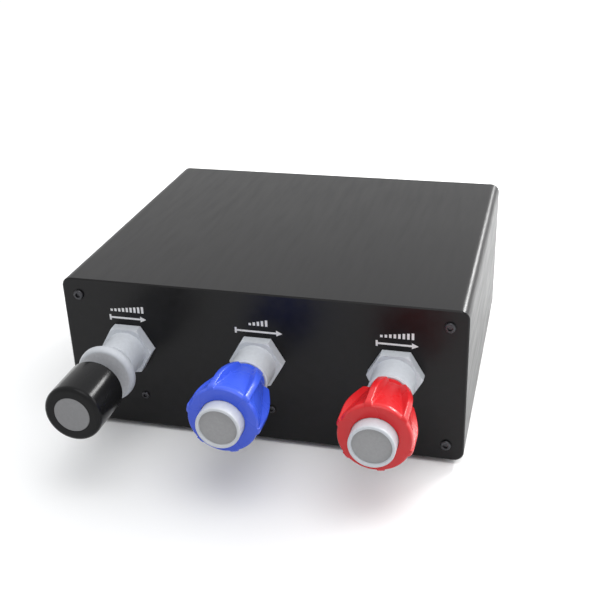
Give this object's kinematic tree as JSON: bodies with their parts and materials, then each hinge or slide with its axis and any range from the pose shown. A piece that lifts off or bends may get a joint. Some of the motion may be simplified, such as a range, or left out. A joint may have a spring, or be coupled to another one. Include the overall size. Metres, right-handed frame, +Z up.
{
  "type": "push-pull throttle quadrant",
  "caption": "Desktop flight simulator box with three push-pull controls on its black front: throttle with friction ring, blue propeller and red mixture vernier knobs.",
  "frame": {"origin": "on the desk, under the middle of the object's bounding box with the controls pushed in", "axes": "X to the right along the front panel, Y to the rear, Z up"},
  "size_m": [0.186, 0.2194, 0.077],
  "materials": {
    "case_black": "black anodised, satin",
    "screw_black": "black oxide",
    "foot_rubber": "matt",
    "pale_grey": "moulded, fine grain",
    "cap_grey": "moulded, fine grain",
    "knob_black": "polished",
    "knob_blue": "semi-gloss",
    "knob_red": "semi-gloss",
    "rod_steel": "ground",
    "sheet_aluminium": "mill finish",
    "nylon_white": "natural nylon",
    "board_green": "solder mask",
    "brass": "plain",
    "wire_red": "insulated wire"
  },
  "bodies": {
    "root": {"case_sleeve": "case_black", "front_panel": "case_black", "rear_panel": "case_black", "front_panel_screws": "screw_black", "rear_panel_screws": "screw_black", "foot_front_left": "foot_rubber", "foot_front_right": "foot_rubber", "foot_rear_left": "foot_rubber", "foot_rear_right": "foot_rubber", "throttle_bushing": "pale_grey", "prop_bushing": "pale_grey", "mixture_bushing": "pale_grey", "bushing_nuts": "rod_steel", "bracket_screws": "screw_black", "throttle_bracket": "sheet_aluminium", "prop_bracket": "sheet_aluminium", "mixture_bracket": "sheet_aluminium", "throttle_pot": "rod_steel", "prop_pot": "rod_steel", "mixture_pot": "rod_steel", "pot_screws": "rod_steel", "control_board": "board_green", "board_standoffs": "brass", "board_screws": "rod_steel", "controller_chip": "screw_black", "wire_headers": "nylon_white", "usb_socket": "rod_steel", "throttle_harness": "wire_red", "prop_harness": "wire_red", "mixture_harness": "wire_red", "friction_collet": "nylon_white"},
    "throttle_shaft": {"throttle_rod": "rod_steel", "throttle_knob": "knob_black", "throttle_cap": "cap_grey", "throttle_carriage": "nylon_white", "throttle_grub_screw": "screw_black", "throttle_slider": "brass"},
    "friction_ring_body": {"friction_ring": "pale_grey"},
    "prop_shaft": {"prop_rod": "rod_steel", "prop_retainer": "rod_steel", "prop_carriage": "nylon_white", "prop_grub_screw": "screw_black", "prop_slider": "brass"},
    "prop_knob_body": {"prop_knob": "knob_blue", "prop_spring": "rod_steel"},
    "prop_button_body": {"prop_button": "pale_grey", "prop_plunger": "rod_steel"},
    "mixture_shaft": {"mixture_rod": "rod_steel", "mixture_retainer": "rod_steel", "mixture_carriage": "nylon_white", "mixture_grub_screw": "screw_black", "mixture_slider": "brass"},
    "mixture_knob_body": {"mixture_knob": "knob_red", "mixture_spring": "rod_steel"},
    "mixture_button_body": {"mixture_button": "pale_grey", "mixture_plunger": "rod_steel"}
  },
  "joints": [
    {"name": "throttle_slide", "type": "slide", "parent": "root", "child": "throttle_shaft", "axis": [0, -1, 0], "range_m": [0, 0.06]},
    {"name": "friction_ring_turn", "type": "hinge", "parent": "root", "child": "friction_ring_body", "pos_m": [-0.0624, -0.07365, 0.0445], "axis": [0, -1, 0], "range_deg": [0, 180]},
    {"name": "prop_slide", "type": "slide", "parent": "root", "child": "prop_shaft", "axis": [0, -1, 0], "range_m": [0, 0.06]},
    {"name": "prop_knob_turn", "type": "hinge", "parent": "prop_shaft", "child": "prop_knob_body", "pos_m": [0, -0.07965, 0.0445], "axis": [0, -1, 0], "continuous": true},
    {"name": "prop_button_press", "type": "slide", "parent": "prop_knob_body", "child": "prop_button_body", "axis": [0, 1, 0], "range_m": [0, 0.003], "stiffness_N_per_m": 800, "springref_m": -0.0025, "deforming": ["prop_spring"]},
    {"name": "mixture_slide", "type": "slide", "parent": "root", "child": "mixture_shaft", "axis": [0, -1, 0], "range_m": [0, 0.06]},
    {"name": "mixture_knob_turn", "type": "hinge", "parent": "mixture_shaft", "child": "mixture_knob_body", "pos_m": [0.0624, -0.07965, 0.0445], "axis": [0, -1, 0], "continuous": true},
    {"name": "mixture_button_press", "type": "slide", "parent": "mixture_knob_body", "child": "mixture_button_body", "axis": [0, 1, 0], "range_m": [0, 0.003], "stiffness_N_per_m": 800, "springref_m": -0.0025, "deforming": ["mixture_spring"]}
  ]
}
